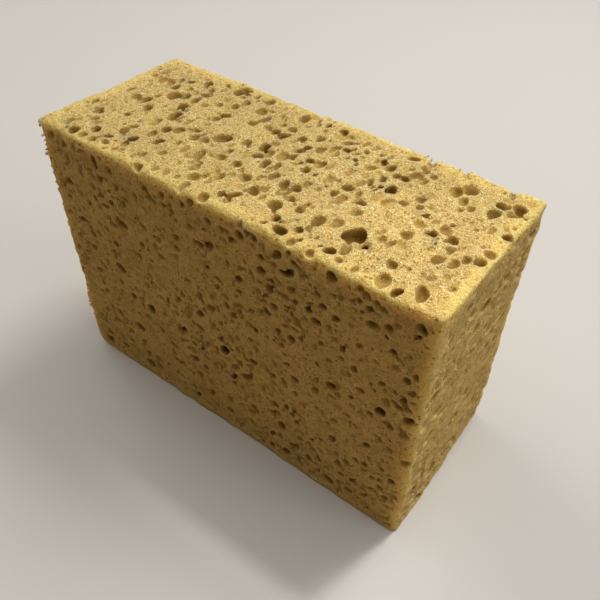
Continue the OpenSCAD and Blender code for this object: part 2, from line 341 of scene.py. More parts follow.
pores_of = {}
for name, (corner, across, up, inward, seed, named) in FACES.items():
    width, height = (abs(np.dot(way, block_size)) for way in (across, up))
    by_hand = np.array(named, float).reshape(-1, 4)
    by_hand[:, :2] += FACE_SHIFTS.get(name, (0, 0))
    by_hand[:, 1] += FRONT_SLANT * (by_hand[:, 0] - 50) if name == "front" else 0
    by_hand *= (width / 100, height / 100, 1, 1)
    scattered = scattered_pores(width, height, seed, by_hand)
    to_side = np.minimum(scattered[:, :2], (width, height) - scattered[:, :2]).min(axis=1)
    scattered = scattered[to_side > EDGE_WALL_SCATTERED * scattered[:, 2]]
    coarse = scattered if name == "base" else np.concatenate([by_hand, scattered])
    pores = fine_pores(width, height, coarse, np.random.default_rng(seed), CROWDING[name])
    pores[len(coarse):, 3] *= FINE_DEPTH[name]
    pores[:len(by_hand), 3] *= PLACED_DEPTH[name]
    pores_of[name] = pores
    print(name, "pores:", len(coarse), "plain and scattered,", len(pores), "in all")

# %% [markdown]
# ## Carving the cells
# A pore is the bowl that the face cuts from a cell. The foam was drawn out
# across the block as it set, so its cells are eggs that are longer from front
# to back: the front and back cut round bowls from them, and the other faces
# oval ones. Each egg is tilted a little at random, and as real walls aren't
# even, the space it is carved in is pushed about by a soft noise. Besides the
# listed pores, some cells have run into a neighbour or torn a slit at
# the rim, and behind some bowls a second cell shows as a dark window.

# %% Carve
WALL_UNEVENNESS, WALL_PITCH = 0.42, 2.9
WALL_CRUMBLE, WALL_CRUMBLE_PITCH = 0.05, 1.25
EGG_WIDTHS = (0.92, 1.05)
EGG_MARGIN = 1.5
CELL_TILT = 0.14
RIM_SHARE = 0.18
RIM_ROUNDING = (0.3, 0.9)
push = [WALL_UNEVENNESS * soft_noise(WALL_PITCH, 20 + k)
        + WALL_CRUMBLE * soft_noise(WALL_CRUMBLE_PITCH, 30 + k) for k in range(3)]


def egg(middle, radii, turn):
    """The part of the grid round an egg, and the distance to it there: the length of the turned offset in
    radii, less one, times the least radius."""
    reach = radii.max() + EGG_MARGIN
    start = np.maximum(((middle - reach - grid_low) / CUBE).astype(int), 0)
    stop = np.minimum(((middle + reach - grid_low) / CUBE).astype(int) + 2, foam.shape)
    part = tuple(slice(a, max(a, b)) for a, b in zip(start, stop))
    offsets = [axis[cut].reshape([-1 if k == n else 1 for n in range(3)]) - middle[k] + push[k][part]
               for k, (axis, cut) in enumerate(zip(axes, part))]
    rows = turn / radii[:, None]
    squares = sum((row[0] * offsets[0] + row[1] * offsets[1] + row[2] * offsets[2]) ** 2 for row in rows)
    return part, (np.sqrt(squares) - 1) * radii.min()


def carve(middle, radii, turn):
    """Takes an egg out of the foam: what is left is the greater of the foam and the egg's distance turned
    inside out. Where the two are within the rounding of each other it rises by the square of what is left of
    it, which rounds the rim, and a large egg's rim is rounder."""
    part, outside = egg(middle, radii, turn)
    rounding = np.clip(RIM_SHARE * radii.max(), *RIM_ROUNDING)
    close = np.maximum(rounding - np.abs(foam[part] + outside), 0)
    foam[part] = np.maximum(foam[part], -outside) + close ** 2 / (4 * rounding)


def random_turn(rng):
    """A random rotation: the orthogonal factor of a random matrix."""
    return np.linalg.qr(rng.standard_normal((3, 3)))[0]


def carve_pore(place, mouth, depth, inward, rng, stretch):
    """The bowl of a given mouth and depth: a ball of radius (mouth squared / 4 + depth squared) / twice the
    depth, which lies its depth less its radius under the face. It is drawn out from front to back, unless
    it opens in the front or back face, and tilted a little."""
    radius = (mouth ** 2 / 4 + depth ** 2) / (2 * depth)
    length = 1.0 if inward[1] else rng.uniform(*stretch)
    turn = np.linalg.qr(np.eye(3) + rng.normal(0, CELL_TILT, (3, 3)))[0].T
    carve(place + (depth - radius) * inward, radius * np.array([rng.uniform(*EGG_WIDTHS), length, 1]), turn)


# %% Carve the pores of each face
# Stretches are in radii and least mouths in millimetres, a SHARE is how many of
# the bowls have one, and the rest is in mouths.
PLAIN_STRETCH, STRETCH = (1.05, 1.3), (1.15, 1.7)
LEAST_BOWL, LEAST_TORN, LEAST_DEPTH = 1.6, 2.2, 0.3
LOBED_SHARE, LOBE_SIZES, LOBE_ASIDE = 0.4, (0.45, 0.8), 0.52
SLIT_SHARE, SLIT_LENGTHS, SLIT_WIDTH, SLIT_DEPTH, SLIT_ASIDE = 0.08, (0.45, 0.75), 0.13, 0.24, 0.5
WINDOW_SHARE, WINDOW_SIZES, WINDOW_ASIDE, WINDOW_SUNK = 0.07, (0.26, 0.42), 0.28, 0.5
counts = {"lobes": 0, "slits": 0, "windows": 0}
rng = np.random.default_rng(77)
for name, (corner, across, up, inward, _, named) in FACES.items():
    corner, across, up, inward = (np.array(v, float) for v in (corner, across, up, inward))
    for number, (place_x, place_y, mouth, depth) in enumerate(pores_of[name]):
        place = corner + place_x * across + place_y * up
        is_placed = number < len(named)
        is_bowl = not is_placed and mouth > LEAST_BOWL and depth > LEAST_DEPTH * mouth
        carve_pore(place, mouth, depth, inward, rng, PLAIN_STRETCH if is_placed else STRETCH)
        heading = rng.uniform(0, 2 * math.pi)
        aside = math.cos(heading) * across + math.sin(heading) * up
        if is_bowl and rng.random() < LOBED_SHARE:
            share = rng.uniform(*LOBE_SIZES)
            carve_pore(place + aside * mouth * LOBE_ASIDE, mouth * share, depth * share, inward, rng, STRETCH)
            counts["lobes"] += 1
        if is_bowl and mouth > LEAST_TORN and rng.random() < SLIT_SHARE:
            slit = mouth * np.array([rng.uniform(*SLIT_LENGTHS), SLIT_WIDTH, SLIT_DEPTH])
            turn = np.stack([aside, np.cross(aside, inward), inward])
            carve(place + aside * mouth * SLIT_ASIDE, slit, turn)
            counts["slits"] += 1
        if is_bowl and rng.random() < WINDOW_SHARE:
            cell = mouth * rng.uniform(*WINDOW_SIZES)
            sunk = place + WINDOW_ASIDE * mouth * aside + (depth + WINDOW_SUNK * cell) * inward
            carve(sunk, cell * np.ones(3), np.eye(3))
            counts["windows"] += 1
print(counts)

# %% [markdown]
# ## Broken edges
# A cell that the saw meets at an edge leaves a bite in it, so a sawn edge of
# the real block is no clean line. The two handled edges have no bites left.
# The upright that is rubbed has finer bites, much closer together, and shreds
# of cell wall stand up between them. The back edge of the top is torn, most at
# its right-hand end, where whole cells are gone and shreds of their walls are
# left. Those larger bites are listed one by one.

# %% Broken edges
# millimetres of edge for each bite, and its least and greatest radius
PLAIN_BITES = (7.5, 0.4, 0.9)
RUBBED_BITES = (1.6, 0.35, 0.8)
BITE_LENGTHS = (0.8, 1.5)
BITE_OFFSETS = (-0.3, 1.0)
TORN_OFFSET = 0.4
TORN_BITES = [
    # percent along the back of the top from the left, width, depth
    (45.4, 6.0, 1.7), (66, 3.0, 1.2), (75.2, 4.4, 3.2), (79, 2.6, 0.9), (82.4, 5.0, 2.8), (88.9, 4.6, 1.2),
    (93.2, 4.6, 3.0), (97, 3.0, 1.2),
]
corners = np.array([[(low, high)[k][n] for n, k in enumerate(ends)] for ends in np.ndindex(2, 2, 2)])
edges = [(a, b) for a in range(8) for b in range(a + 1, 8) if (corners[a] != corners[b]).sum() == 1]
rng = np.random.default_rng(5)
bites = 0
for a, b in edges:
    length = np.abs(corners[b] - corners[a]).sum()
    outward = np.where(corners[a] == corners[b], np.sign(corners[a] - centre), 0) / math.sqrt(2)
    is_rubbed = (corners[[a, b], :2] == block_low[:2]).all()
    on_right, on_front, on_top = (corners[[a, b]] == (high[0], low[1], high[2])).all(axis=0)
    is_handled = on_front and (on_top or on_right)
    spacing, least, most = RUBBED_BITES if is_rubbed else PLAIN_BITES
    for share in rng.uniform(0, 1, 0 if is_handled else int(length / spacing)):
        radii = rng.uniform(least, most) * np.array([rng.uniform(*BITE_LENGTHS), 1, 1])
        off = rng.uniform(*BITE_OFFSETS) * radii.min()
        carve(corners[a] + share * (corners[b] - corners[a]) + off * outward, radii, random_turn(rng))
        bites += 1
for percent, width, depth in TORN_BITES:
    place = np.array([low[0] + block_size[0] * percent / 100, high[1], high[2]])
    carve(place + (0, TORN_OFFSET, TORN_OFFSET), np.array([width / 2, depth, depth]), np.eye(3))
print("bites:", bites + len(TORN_BITES))

# %% Shreds that stand up from the broken edges
RUBBED_SHREDS, RUBBED_HALF_WIDTH = 130, 1.4
TORN_SHREDS, TORN_FROM, TORN_TO = 22, 0.73, 0.99
TORN_IN, TORN_DOWN = (0.2, 2.2), (0.3, 1.2)
SHRED_LENGTHS = (0.5, 0.85)
SHRED_THICKNESS = 0.5
SHRED_LEAN = 0.5
SHRED_ROOT = 0.2
RUBBED_ROOT = 0.45  # how far in from where the square edge would be, in radii of the rubbed edge


def shred(place, along, rng):
    """Leaves a crumb of wall: the lesser of the foam and a small egg that starts a little inside and points
    outwards, leaning by a random vector."""
    leaning = along + rng.normal(0, SHRED_LEAN, 3)
    leaning /= np.linalg.norm(leaning)
    turn = np.linalg.qr(np.stack([leaning, *np.eye(3)[:2]], axis=1))[0].T
    radii = np.array([rng.uniform(*SHRED_LENGTHS), SHRED_THICKNESS, SHRED_THICKNESS])
    part, outside = egg(place + SHRED_ROOT * leaning, radii, turn)
    foam[part] = np.minimum(foam[part], outside)


rng = np.random.default_rng(8)
rubbed_out = np.array([-1, -1, 0]) / math.sqrt(2)
for height in rng.uniform(low[2] + WORN_EDGE_RADIUS, high[2], RUBBED_SHREDS):
    aside = rng.uniform(-RUBBED_HALF_WIDTH, RUBBED_HALF_WIDTH) * np.array([1, -1, 0])
    place = np.array([low[0], low[1], height]) - RUBBED_EDGE_RADIUS * RUBBED_ROOT * rubbed_out + 0.5 * aside
    shred(place, rubbed_out, rng)
for share in rng.uniform(TORN_FROM, TORN_TO, TORN_SHREDS):
    place = np.array([low[0] + share * block_size[0], high[1] - rng.uniform(*TORN_IN),
                      high[2] - rng.uniform(*TORN_DOWN)])
    shred(place, np.array([0, 0.5, 1]), rng)
print("shreds:", RUBBED_SHREDS + TORN_SHREDS)

# %% [markdown]
# ## From field to skin
# Surface nets puts one vertex in each small cube that the skin crosses, at the
# mean of its crossings, and one face across each grid edge whose ends lie on
# the two sides. It gives even, rounded faces, and needs only array steps.

# %% Surface nets
CORNERS = list(np.ndindex(2, 2, 2))


def surface_nets(field):
    """Vertices at the mean of each crossed cube's edge crossings, in cubes, and a four-sided face for each
    crossed grid edge. A crossing lies where the straight line between the two ends' values is nought."""
    inside = field < 0
    cubes = tuple(n - 1 for n in field.shape)
    filled = sum(inside[i:i + cubes[0], j:j + cubes[1], k:k + cubes[2]].astype(np.uint8)
                 for i, j, k in CORNERS)
    crossed = (filled > 0) & (filled < 8)
    place = np.stack(np.nonzero(crossed), axis=1)
    value = {c: field[tuple((place + c).T)] for c in CORNERS}
    total, hits = np.zeros((len(place), 3)), np.zeros(len(place))
    for c in CORNERS:
        for axis in (k for k in range(3) if c[k] == 0):
            a, b = value[c], value[tuple(c[k] + (k == axis) for k in range(3))]
            cut = (a < 0) != (b < 0)
            way = np.array(c, float)[None, :].repeat(len(place), 0)
            way[:, axis] = np.where(cut, a / np.where(cut, a - b, 1), 0)
            total += way * cut[:, None]
            hits += cut
    number = np.full(cubes, -1, np.int32)
    number[crossed] = np.arange(len(place), dtype=np.int32)
    faces = np.concatenate([net_faces(inside, number, axis) for axis in range(3)])
    return place + total / hits[:, None], faces


def net_faces(inside, number, axis):
    """Faces across the grid edges along one axis: the four cubes round each crossed edge, turned to face out
    of the foam."""
    b, c = (axis + 1) % 3, (axis + 2) % 3
    ends = []
    for shift in (0, 1):
        cut = [slice(1, -1)] * 3
        cut[axis] = slice(shift, inside.shape[axis] - 1 + shift)
        ends.append(inside[tuple(cut)])
    edge = np.stack(np.nonzero(ends[0] != ends[1]), axis=1)
    foam_first = ends[0][tuple(edge.T)]
    ring = np.stack([number[tuple((edge + step).T)] for step in square(b, c)], axis=1)
    return np.where(foam_first[:, None], ring, ring[:, ::-1])


def square(a, b):
    """The steps from a grid point round a square along two axes: none, one way, both ways, the other way."""
    step_a, step_b = np.eye(3, dtype=int)[[a, b]]
    return 0 * step_a, step_a, step_a + step_b, step_b


# %% [markdown]
# ## A skin that never meets itself
# Where foam and air take turns round a square of four grid points, the skin
# would meet itself along an edge and enclose no clear solid. The thinner of the
# two walls there is torn away, as in real foam. Closed cells that meet no bowl
# are skins of their own inside. They can't be seen, so only the largest
# connected skin is kept.

# %% One clean skin
LEAST_AIR = 0.01


def turns_round(field, a, b):
    """The squares along two axes round which foam and air take turns: both pairs of opposite corners are of a
    kind, and the two kinds differ."""
    inside = []
    for step in square(a, b):
        ends = [slice(None)] * 3
        for k in (a, b):
            ends[k] = slice(step[k], field.shape[k] - 1 + step[k])
        inside.append(field[tuple(ends)] < 0)
    first, second, third, fourth = inside
    return np.stack(np.nonzero((first == third) & (second == fourth) & (first != second)), axis=1)


def untangle(field):
    """Of the two foam points of such a square, the one nearer the skin becomes air, and this is done over
    until no such square is left."""
    found = 1
    while found:
        found = 0
        for a, b in ((0, 1), (0, 2), (1, 2)):
            turns = turns_round(field, a, b)
            if len(turns):
                four = np.stack([turns + step for step in square(a, b)])
                values = field[four[..., 0], four[..., 1], four[..., 2]]
                nearest = np.where(values < 0, values, -np.inf).argmax(axis=0)
                spot = four[nearest, np.arange(len(turns))]
                field[tuple(spot.T)] = np.maximum(-field[tuple(spot.T)], LEAST_AIR)
            found += len(turns)
        print("squares untangled:", found)


def largest_skin(count, faces):
    """Which vertices belong to the largest connected skin: every edge gives both its ends' leaders the lower
    of the two, until none differ."""
    ends = np.concatenate([faces[:, [0, 1]], faces[:, [1, 2]], faces[:, [2, 3]]])
    leader = np.arange(count)
    while True:
        pair = leader[ends]
        if (pair[:, 0] == pair[:, 1]).all():
            break
        lowest = pair.min(axis=1)
        np.minimum.at(leader, pair[:, 0], lowest)
        np.minimum.at(leader, pair[:, 1], lowest)
        while (leader[leader] != leader).any():
            leader = leader[leader]
    names, sizes = np.unique(leader, return_counts=True)
    return leader == names[sizes.argmax()]


untangle(foam)
skin, faces = surface_nets(foam)
kept = largest_skin(len(skin), faces)
faces = (np.cumsum(kept) - 1)[faces[kept[faces[:, 0]]]]
skin = skin[kept] * CUBE + grid_low
print("skin:", len(skin), "vertices,", len(faces), "faces")

# %% [markdown]
# ## Thinning the mesh
# The even mesh is far finer than flat foam needs. Decimate by collapse merges
# the edges whose loss moves the skin least, so faces go from the flats and
# stay in the bowls and at their rims. It can leave two faces back to back,
# which enclose nothing, so those are taken away. Rims that turn sharply are
# then marked sharp, so that a flat face isn't shaded as if it leant into each
# pore.

# %% Mesh helpers
def mesh_from(name, points, faces):
    """A mesh object from arrays: points in millimetres, and faces that all have as many corners."""
    corners = faces.shape[1]
    mesh = bpy.data.meshes.new(name)
    mesh.vertices.add(len(points))
    mesh.vertices.foreach_set("co", (points * MM).astype(np.float32).ravel())
    mesh.loops.add(faces.size)
    mesh.loops.foreach_set("vertex_index", faces.astype(np.int32).ravel())
    mesh.polygons.add(len(faces))
    mesh.polygons.foreach_set("loop_start", np.arange(0, faces.size, corners, dtype=np.int32))
    mesh.update(calc_edges=True)
    made = bpy.data.objects.new(name, mesh)
    bpy.context.scene.collection.objects.link(made)
    return made


def apply_modifiers(piece):
    """Makes the piece's mesh what its modifiers show, and takes them off."""
    shown = piece.evaluated_get(bpy.context.evaluated_depsgraph_get())
    mesh = bpy.data.meshes.new_from_object(shown)
    piece.modifiers.clear()
    piece.data = mesh


def drop_flaps(mesh):
    """Takes away faces that lie back to back: the mesh's own check takes one of the two, and the other then
    has an open edge."""
    mesh.validate()
    work = bmesh.new()
    work.from_mesh(mesh)
    flaps = [face for face in work.faces if any(len(edge.link_faces) == 1 for edge in face.edges)]
    bmesh.ops.delete(work, geom=flaps, context="FACES")
    work.to_mesh(mesh)
    work.free()
    print("flaps dropped:", len(flaps))


# %% Thin the mesh
TRIANGLES = 196000
RIM_ANGLE = math.radians(42)
sponge = mesh_from("sponge_foam", skin, faces)
thin = sponge.modifiers.new("thin", "DECIMATE")
thin.ratio = TRIANGLES / (2 * len(faces))
thin.use_collapse_triangulate = True
apply_modifiers(sponge)
drop_flaps(sponge.data)
sponge.data.shade_smooth()
sponge.data.set_sharp_from_angle(angle=RIM_ANGLE)
print("thinned to", len(sponge.data.polygons), "triangles")

# %% [markdown]
# ## How sheltered each spot is
# Light dies in a deep pore, and the foam's colour paints that shade in,
# darkest there. The mesh carries that as a number of its own: how much of a
# small box round the spot is foam. A flat face has a half, an edge less and
# the floor of a pore more.
# Two more numbers go with it, in millimetres: how deep the spot lies under the
# uncut face, and how far it is from the block's nearest edge.

# %% Shelter
SHELTER_REACH = 2.4


def box_mean(field, cubes):
    """Mean of the field over a box that reaches so many cubes each way: a running sum along each axis, less
    itself further back."""
    for axis in range(3):
        ends = [(0, 0)] * 3
        ends[axis] = (cubes + 1, cubes)
        total = np.cumsum(np.pad(field, ends, mode="edge"), axis=axis, dtype=np.float32)
        ahead, behind = [slice(None)] * 3, [slice(None)] * 3
        ahead[axis], behind[axis] = slice(2 * cubes + 1, None), slice(None, -2 * cubes - 1)
        field = (total[tuple(ahead)] - total[tuple(behind)]) / (2 * cubes + 1)
    return field


def sample(field, points):
    """The field at each point: its value at the eight grid corners round it, each weighted by how near it is
    along each axis."""
    place = (points - grid_low) / CUBE
    corner = np.clip(np.floor(place).astype(int), 0, np.array(field.shape) - 2)
    share = place - corner
    return sum(field[tuple((corner + c).T)] * np.where(c, share, 1 - share).prod(axis=1) for c in CORNERS)


points = np.empty(3 * len(sponge.data.vertices), np.float32)
sponge.data.vertices.foreach_get("co", points)
points = points.reshape(-1, 3) / MM
shelter = sample(box_mean((foam < 0).astype(np.float32), round(SHELTER_REACH / CUBE)), points)
from_edge = np.sort(np.minimum(points - block_low, block_high - points), axis=1)[:, 1]
for name, values in (("shelter", shelter), ("pore_depth", -sample(uncut, points)), ("from_edge", from_edge)):
    layer = sponge.data.attributes.new(name, "FLOAT", "POINT")
    layer.data.foreach_set("value", values.astype(np.float32))
    print(name, "from", round(float(values.min()), 2), "to", round(float(values.max()), 2))

# %% [markdown]
# ## A block that isn't quite square
# A soft slab creeps under the saw, so no corner is quite where it should be.
# Each corner named here, as left or right, front or back and bottom or top, is
# pulled by a millimetre or so, and the mesh follows evenly between them. What
# the pull would push under the floor is laid on it.

# %% Pulled corners
PULLED_CORNERS = {(0, 0, 1): (-1.2, -0.3, 1.5), (1, 0, 1): (-0.6, 0.3, 0.6), (1, 1, 1): (0, -0.4, -0.5),
                  (0, 1, 1): (0.2, 0.0, -0.5), (1, 0, 0): (-0.2, 0.6, 0.0), (1, 1, 0): (-0.2, 0.8, 0.0)}
share = (points - block_low) / block_size
for ends, pull in PULLED_CORNERS.items():
    points += np.where(ends, share, 1 - share).prod(axis=1)[:, None] * np.array(pull)
points[:, 2] = np.maximum(points[:, 2], block_low[2])
sponge.data.vertices.foreach_set("co", (points * MM).astype(np.float32).ravel())
sponge.data.update()

# %% [markdown]
# ## The foam's finish
# Close to, the face between the pores is a sandy web of cells too small to
# model: ridges that catch the light round shaded pits about half a millimetre
# wide. A Voronoi pattern gives the pits, broken up by noise, and both the colour
# and the bump read it: the colour paints the ridges' highlights and the pits'
# shade. The grain is a node group, and the foam uses it at two scales.

# %% Node helpers
def group_with(name, inputs, outputs):
    """A new shader node group with its sockets, each given as (name, kind, value), and its two end nodes."""
    group = bpy.data.node_groups.new(name, "ShaderNodeTree")
    for socket, kind, value in inputs:
        made = group.interface.new_socket(socket, in_out="INPUT", socket_type=kind)
        if value is not None:
            made.default_value = value
    for socket, kind in outputs:
        group.interface.new_socket(socket, in_out="OUTPUT", socket_type=kind)
    return group, group.nodes.new("NodeGroupInput"), group.nodes.new("NodeGroupOutput")


def node(tree, kind, settings=(), **inputs):
    """A new node, with settings by name and each input set to a value or linked to a socket. An input goes by
    its name, with an underscore for a space, or by i and its number."""
    made = tree.nodes.new(kind)
    for key, value in dict(settings).items():
        setattr(made, key, value)
    for key, value in inputs.items():
        is_number = key[0] == "i" and key[1:].isdigit()
        socket = made.inputs[int(key[1:]) if is_number else key.replace("_", " ")]
        if isinstance(value, bpy.types.NodeSocket):
            tree.links.new(value, socket)
        else:
            socket.default_value = value
    return made


def math_node(tree, operation, first, second):
    """The output of a Math node."""
    return node(tree, "ShaderNodeMath", {"operation": operation}, i0=first, i1=second).outputs[0]


def times(tree, first, second):
    """The output of a Math node that multiplies."""
    return math_node(tree, "MULTIPLY", first, second)


def less(tree, first, second):
    """The output of a Math node that subtracts."""
    return math_node(tree, "SUBTRACT", first, second)


def mix_color(tree, share, first, second, blend="MIX"):
    """The output of a colour Mix node: first where the share is nought, second where it is one."""
    settings = {"data_type": "RGBA", "blend_type": blend}
    return node(tree, "ShaderNodeMix", settings, i0=share, i6=first, i7=second).outputs[2]


def ramp_between(tree, value, low, high, smooth=True):
    """A share from nought to one as the value goes from low to high."""
    settings = {"interpolation_type": "SMOOTHSTEP" if smooth else "LINEAR"}
    return node(tree, "ShaderNodeMapRange", settings, i0=value, i1=low, i2=high, i3=0.0, i4=1.0).outputs[0]


# %% Grain: the web of cells too small to model
# Distances are from a cell's middle, in cells.
PIT_FROM, PIT_TO = 0.62, 0.14
RIDGE_FROM, RIDGE_TO = 0.38, 0.72
RIDGE_PATCHES = (0.40, 0.62)
PIT_CHANCES = (0.05, 0.95)
BEND_SCALE = 1100.0
grain, ends_in, ends_out = group_with(
    "foam_grain",
    [("Cells per metre", "NodeSocketFloat", 1400.0), ("Unevenness", "NodeSocketFloat", 0.0007)],
    [("Height", "NodeSocketFloat"), ("Pits", "NodeSocketFloat"), ("Ridges", "NodeSocketFloat")])
place = node(grain, "ShaderNodeTexCoord").outputs["Object"]
bend = node(grain, "ShaderNodeTexNoise", Vector=place, Scale=BEND_SCALE, Detail=1.0)
bent = node(grain, "ShaderNodeVectorMath", {"operation": "MULTIPLY_ADD"},
            i0=bend.outputs["Color"], i1=ends_in.outputs["Unevenness"], i2=place).outputs[0]
cells = node(grain, "ShaderNodeTexVoronoi", {"feature": "F1"},
             Vector=bent, Scale=ends_in.outputs["Cells per metre"])
chance = node(grain, "ShaderNodeSeparateColor", Color=cells.outputs["Color"]).outputs[0]
dip = ramp_between(grain, cells.outputs["Distance"], PIT_FROM, PIT_TO)
pits = times(grain, dip, ramp_between(grain, chance, *PIT_CHANCES, smooth=False))
ridges = times(grain, ramp_between(grain, cells.outputs["Distance"], RIDGE_FROM, RIDGE_TO),
               ramp_between(grain, bend.outputs["Fac"], *RIDGE_PATCHES))
height = less(grain, ridges, pits)
for socket, value in (("Height", height), ("Pits", pits), ("Ridges", ridges)):
    grain.links.new(value, ends_out.inputs[socket])
print("grain nodes:", len(grain.nodes))

# %% [markdown]
# ## The foam's colour
# The face is golden. The bowls are browner, partly their own colour and partly
# painted shade, and the depths and sheltered spots are painted darkest, as
# shade. On top of that, every edge is painted paler, as a glow of light through
# it, and its grain is flatter. The grain's painted highlights and shade show in
# full on the top, where the light falls, and less on the sides, which are also
# blotched darker. Light also soaks into the foam and comes out golden near a
# lit edge, so the shader scatters under the surface.

# %% Foam colours
FACE_COLOR = (0.70, 0.482, 0.155, 1)
# painted highlight on the grain's ridges
RIDGE_HIGHLIGHT_COLOR = (0.97, 0.80, 0.42, 1)
# painted shade in the grain's pits and the sparse pits
PIT_SHADE_COLOR = (0.22, 0.12, 0.018, 1)
# the bowls' browner skin, partly their own colour and partly painted shade
BOWL_COLOR = (0.465, 0.31, 0.078, 1)
# painted shade in the depths and sheltered spots
DEEP_SHADE_COLOR = (0.25, 0.134, 0.015, 1)
# painted glow: the tint that makes every edge paler, as if light came through it
EDGE_GLOW_TINT = (1.34, 1.32, 1.25, 1)
BLOTCH_TINT = (0.66, 0.62, 0.52, 1)
MOTTLE_TINT = (1.12, 1.12, 1.1, 1)
# Ramps, from nought to one: by depth and distance in millimetres, by shelter,
# by height in metres, and by a pattern's own value.
IN_BOWL = (0.2, 1.1)
BOWL_DEPTHS, DEEP_DEPTHS = (0.3, 1.5), (1.0, 3.2)
SHELTERED = (0.72, 0.95)
EDGE_GLOW_REACH = (7.5, 1.0)
# the grain's painted highlights and shade show in full on the top, where the light falls, and at this share
# on the sides
LIT_TOP_HEIGHTS, SIDE_GRAIN_SHARE = (0.115, 0.119), 0.38
SPARSE_PITS, DAPPLES = (0.55, 0.9), (0.1, 0.8)
BLOTCHES, MOTTLES = (0.52, 0.38), (0.3, 0.7)
# How much of each layer shows where it is strongest
RIDGE_SHARE, SPARSE_SHARE, DAPPLE_SHARE, BLOTCH_SHARE = 0.8, 0.6, 0.3, 0.4
FACE_ONLY, EDGE_GLOW_FLAT, BLOTCH_BASE = 0.8, 0.55, 1.3
# Cells or lumps to the metre
FINE_GRAIN, COARSE_GRAIN = 1900.0, 620.0
BLOTCH_SCALE, MOTTLE_SCALE, LUMP_SCALE = 330.0, 60.0, 420.0


def tinted(tree, share, base, tint):
    """The base colour, multiplied by the tint as far as the share says."""
    return mix_color(tree, share, base, mix_color(tree, 1.0, base, tint, "MULTIPLY"))


def noise(tree, place, scale, detail, **inputs):
    """The value of a Noise node."""
    return node(tree, "ShaderNodeTexNoise", Vector=place, Scale=scale, Detail=detail, **inputs).outputs["Fac"]


def measure(tree, name):
    """What the mesh carries under this name."""
    return node(tree, "ShaderNodeAttribute", {"attribute_name": name}).outputs["Fac"]


# %% Foam material
SPARSE_DEPTH, LUMP_HEIGHT, BUMP_HEIGHT = 1.5, 2.4, 0.00045
FOAM_SOCKETS = {"Roughness": 0.92, "Specular IOR Level": 0.15, "Subsurface Weight": 0.6,
                "Subsurface Radius": (1.0, 1.0, 1.0), "Subsurface Scale": 0.006}


def foam_color(tree, place, fine, coarse, sparse, in_bowl, on_face):
    """The colours laid over each other: bowls, painted shade in the depths and sheltered spots, a painted
    glow at the edges, the grain's painted highlights and shade, dapples, blotches and a slow mottle."""
    depth = measure(tree, "pore_depth")
    # the bowls are browner, partly their own colour and partly painted shade, and the depths and sheltered
    # spots get painted shade
    base = mix_color(tree, ramp_between(tree, depth, *BOWL_DEPTHS), FACE_COLOR, BOWL_COLOR)
    base = mix_color(tree, ramp_between(tree, depth, *DEEP_DEPTHS), base, DEEP_SHADE_COLOR)
    base = mix_color(tree, ramp_between(tree, measure(tree, "shelter"), *SHELTERED), base, DEEP_SHADE_COLOR)
    # painted glow: every edge of the block, out of the bowls, is tinted paler within a few millimetres as if
    # light came through it, and its grain is flattened there
    rubbed = ramp_between(tree, measure(tree, "from_edge"), *EDGE_GLOW_REACH)
    rubbed = times(tree, rubbed, less(tree, 1.0, in_bowl))
    base = tinted(tree, rubbed, base, EDGE_GLOW_TINT)
    # painted light: the grain's painted highlights and shade are strongest on the top, where the light falls,
    # and weaker on the sides
    height = node(tree, "ShaderNodeSeparateXYZ", Vector=place).outputs["Z"]
    lit_top = times(tree, ramp_between(tree, height, *LIT_TOP_HEIGHTS), 1 - SIDE_GRAIN_SHARE)
    lit_top = math_node(tree, "ADD", lit_top, SIDE_GRAIN_SHARE)
    strength = times(tree, times(tree, on_face, lit_top), less(tree, 1.0, times(tree, rubbed, EDGE_GLOW_FLAT)))
    # painted highlights on the ridges, and painted shade in the pits and the sparse pits
    ridges = times(tree, fine.outputs["Ridges"], strength)
    base = mix_color(tree, times(tree, ridges, RIDGE_SHARE), base, RIDGE_HIGHLIGHT_COLOR)
    base = mix_color(tree, times(tree, fine.outputs["Pits"], strength), base, PIT_SHADE_COLOR)
    base = mix_color(tree, times(tree, sparse, SPARSE_SHARE), base, PIT_SHADE_COLOR)
    # dapples in the bowls' colour, so partly painted shade as well
    dapples = ramp_between(tree, coarse.outputs["Pits"], *DAPPLES)
    base = mix_color(tree, times(tree, dapples, DAPPLE_SHARE), base, BOWL_COLOR)
    # the sides are blotched darker, and the top less
    blotches = ramp_between(tree, noise(tree, place, BLOTCH_SCALE, 2.0, Roughness=0.6), *BLOTCHES)
    side_blotching = times(tree, less(tree, BLOTCH_BASE, lit_top), BLOTCH_SHARE)
    base = tinted(tree, times(tree, blotches, side_blotching), base, BLOTCH_TINT)
    mottle = ramp_between(tree, noise(tree, place, MOTTLE_SCALE, 3.0), *MOTTLES)
    return tinted(tree, mottle, base, MOTTLE_TINT)


def foam_bump(tree, place, fine, sparse, on_face):
    """The grain's height, less the sparse deep pits, plus soft lumps: all of it on the face and little of it
    in the bowls."""
    height = less(tree, fine.outputs["Height"], times(tree, sparse, SPARSE_DEPTH))
    height = math_node(tree, "ADD", height, times(tree, noise(tree, place, LUMP_SCALE, 2.0), LUMP_HEIGHT))
    height = times(tree, height, on_face)
    return node(tree, "ShaderNodeBump", Height=height, Strength=1.0, Distance=BUMP_HEIGHT).outputs["Normal"]


